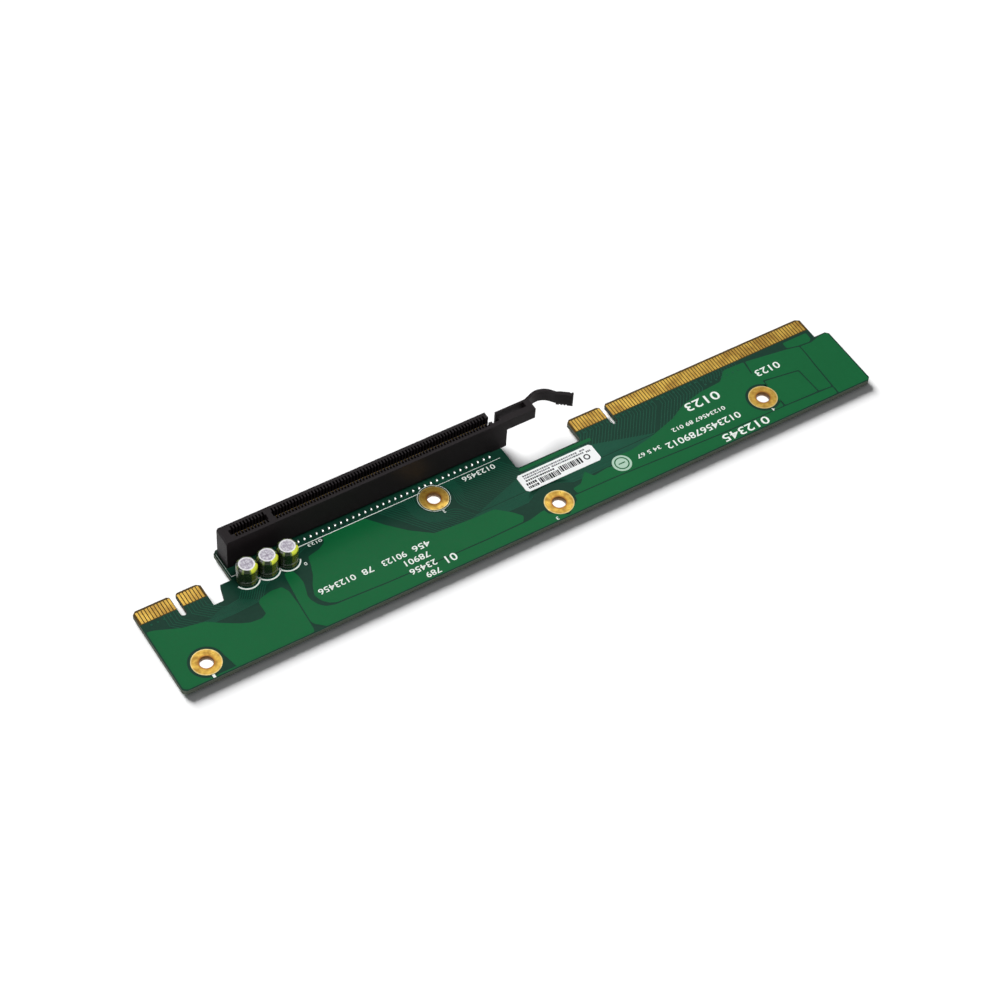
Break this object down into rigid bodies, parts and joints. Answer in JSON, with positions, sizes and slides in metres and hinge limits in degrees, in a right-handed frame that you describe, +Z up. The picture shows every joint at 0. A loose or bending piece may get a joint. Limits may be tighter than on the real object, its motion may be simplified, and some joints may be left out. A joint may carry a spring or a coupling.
{
  "type": "pcie riser card",
  "caption": "Long green circuit board with gold edge connectors, a raised card slot with an end latch, small capacitors, ringed mounting holes and a label.",
  "frame": {"origin": "middle of the board's outline seen from above, at the lower ends of the card slot's location posts", "axes": "+X along the board from the short edge connector to the long one, +Y towards the edge connectors' tips, +Z up out of the component side"},
  "size_m": [0.2338, 0.0394, 0.0137],
  "materials": {
    "board": "satin",
    "gold": "satin",
    "housing": "matte",
    "can": "satin",
    "sleeve": "gloss",
    "paper": "matte"
  },
  "bodies": {
    "root": {"capacitor_1_can": "can", "capacitor_1_sleeve": "sleeve", "capacitor_2_can": "can", "capacitor_2_sleeve": "sleeve", "capacitor_3_can": "can", "capacitor_3_sleeve": "sleeve", "circuit_board": "board", "label": "paper", "long_edge_contacts": "gold", "mounting_ring_a": "gold", "mounting_ring_b": "gold", "mounting_ring_c": "gold", "mounting_ring_d": "gold", "short_edge_contacts": "gold", "slot_contacts_back_inner": "gold", "slot_contacts_back_outer": "gold", "slot_contacts_front_inner": "gold", "slot_contacts_front_outer": "gold", "slot_housing": "housing"}
  },
  "joints": []
}
